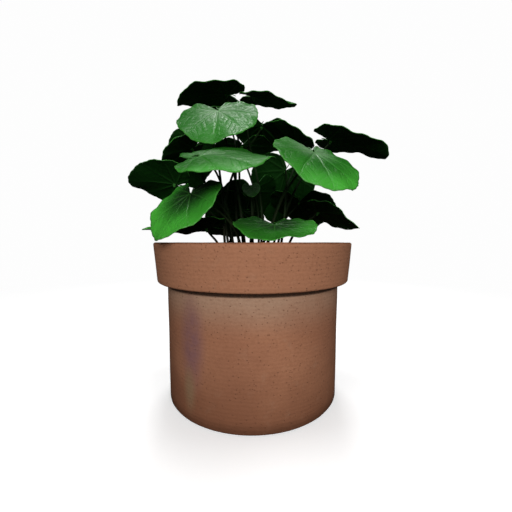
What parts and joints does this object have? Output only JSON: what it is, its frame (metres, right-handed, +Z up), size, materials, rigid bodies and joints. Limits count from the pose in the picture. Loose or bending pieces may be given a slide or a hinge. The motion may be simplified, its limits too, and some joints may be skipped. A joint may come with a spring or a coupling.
{
  "type": "potted herb plant",
  "caption": "Leafy pot herb with broad heart-shaped leaves on long stalks, growing from soil in a rimmed round clay pot.",
  "frame": {"origin": "middle of the pot's underside, on the pot's axis, on the plane the pot stands on", "axes": "+Z up along the pot's axis; the plant's front faces -Y; +X is to the right as seen from the front"},
  "size_m": [0.2062, 0.1617, 0.2395],
  "materials": {
    "terracotta": "unglazed fired clay, matt, with mineral bloom and stains",
    "potting_soil": "moist dark crumbly potting mix",
    "leaf": "waxy bright green upper side, very dark green underside, palmate veins",
    "stalk": "smooth green stem skin"
  },
  "bodies": {
    "root": {"pot": "terracotta", "soil": "potting_soil", "leaf_crown_left": "leaf", "leaf_crown_right": "leaf", "leaf_crown_back": "leaf", "leaf_upper_front": "leaf", "leaf_right_back": "leaf", "leaf_right_far": "leaf", "leaf_right_shoulder": "leaf", "leaf_left_middle": "leaf", "leaf_left_high": "leaf", "leaf_left_far": "leaf", "leaf_left_low": "leaf", "leaf_back_middle": "leaf", "leaf_back_right": "leaf", "leaf_right_low": "leaf", "leaf_front_low": "leaf", "leaf_left_back_low": "leaf", "leaf_back_high": "leaf", "leaf_young_centre": "leaf", "leaf_right_middle": "leaf", "leaf_back_low": "leaf", "leaf_back_left": "leaf", "leaf_back_top": "leaf", "stalk_crown_left": "stalk", "stalk_crown_right": "stalk", "stalk_crown_back": "stalk", "stalk_upper_front": "stalk", "stalk_right_back": "stalk", "stalk_right_far": "stalk", "stalk_right_shoulder": "stalk", "stalk_left_middle": "stalk", "stalk_left_high": "stalk", "stalk_left_far": "stalk", "stalk_left_low": "stalk", "stalk_back_middle": "stalk", "stalk_back_right": "stalk", "stalk_right_low": "stalk", "stalk_front_low": "stalk", "stalk_left_back_low": "stalk", "stalk_back_high": "stalk", "stalk_young_centre": "stalk", "stalk_right_middle": "stalk", "stalk_back_low": "stalk", "stalk_back_left": "stalk", "stalk_back_top": "stalk"}
  },
  "joints": []
}
